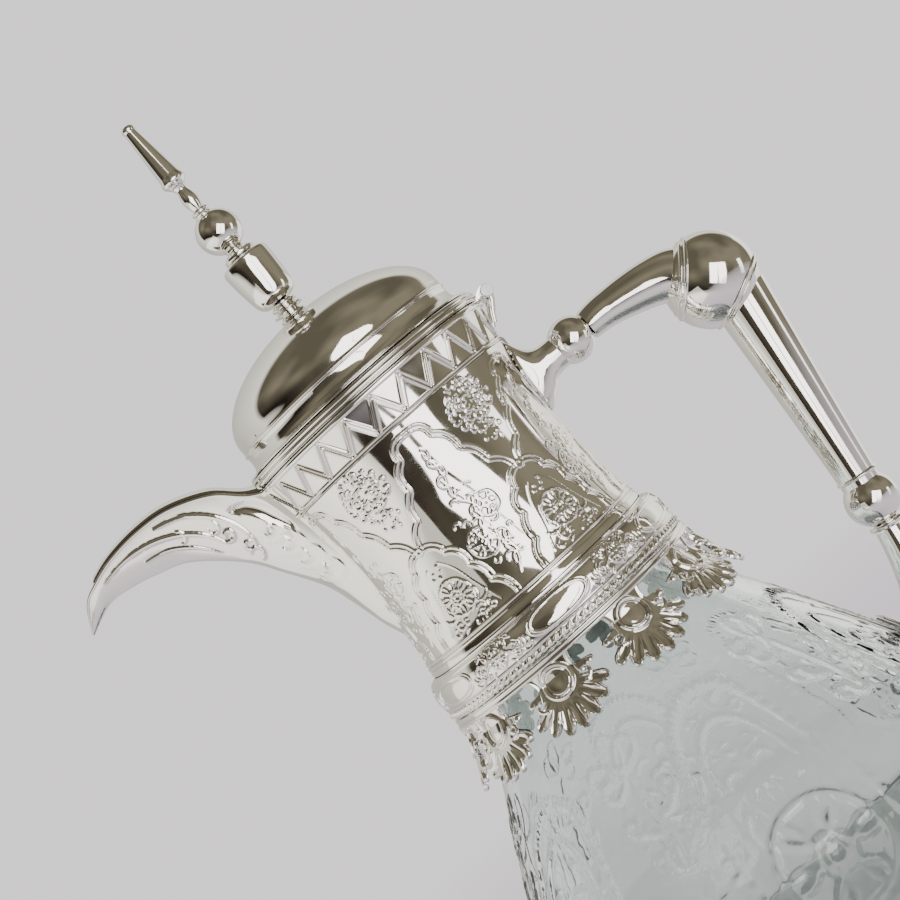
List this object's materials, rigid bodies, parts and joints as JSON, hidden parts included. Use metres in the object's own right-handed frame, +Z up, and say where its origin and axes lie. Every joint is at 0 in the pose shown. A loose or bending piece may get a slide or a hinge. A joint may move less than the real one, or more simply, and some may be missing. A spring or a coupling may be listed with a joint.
{
  "type": "dallah coffee pot",
  "caption": "Coffee pot with a flared glass body, waisted metal collar, crescent spout, hinged domed lid with a tall finial and an angular handle with ball joints.",
  "frame": {"origin": "centre of the flat glass foot, on the surface that the pot stands on", "axes": "+Z up the pot's axis towards the finial, -X towards the spout, +X towards the handle"},
  "size_m": [0.2142, 0.158, 0.3143],
  "materials": {
    "silver_plate": "bright silver plate on cast metal, mirror polished",
    "pressed_glass": "clear pressed glass with a faint grey-green tint and low relief ornament",
    "silicone": "translucent white moulded silicone",
    "clear_adhesive": "cured clear adhesive pad",
    "liner_plastic": "moulded white polypropylene",
    "steel": "turned stainless steel"
  },
  "bodies": {
    "pot": {"glass_body": "pressed_glass", "neck_seal": "silicone", "neck_liner": "liner_plastic", "collar_shell": "silver_plate", "collar_belt": "silver_plate", "palmette_skirt": "silver_plate", "hinge_bracket": "silver_plate", "hinge_pin": "steel", "handle_shield_upper": "silver_plate", "handle_screw": "steel", "screw_washer": "silicone", "handle_ball_upper": "silver_plate", "handle_stud_upper": "steel", "handle_arm_upper": "silver_plate", "elbow_ring_upper": "silver_plate", "elbow_stud_upper": "steel", "elbow_ball": "silver_plate", "elbow_ring_lower": "silver_plate", "elbow_stud_lower": "steel", "handle_arm_long": "silver_plate", "handle_ball_lower": "silver_plate", "handle_stud_lower": "steel", "handle_ring_lower": "silver_plate", "handle_arm_lower": "silver_plate", "handle_shield_lower": "silver_plate", "bond_pad": "clear_adhesive"},
    "lid": {"lid_flange": "silver_plate", "lid_dome": "silver_plate", "lid_liner": "liner_plastic", "lid_seal": "silicone", "finial_rings": "silver_plate", "finial_barrel": "silver_plate", "finial_step": "silver_plate", "finial_ball": "silver_plate", "finial_collar": "silver_plate", "finial_spindle": "silver_plate", "finial_cone": "silver_plate", "finial_stud": "steel", "finial_nut": "steel"}
  },
  "joints": [
    {"name": "lid_hinge", "type": "hinge", "parent": "pot", "child": "lid", "pos_m": [0.0453, 0, 0.2092], "axis": [0, 1, 0], "range_deg": [0, 105]}
  ]
}
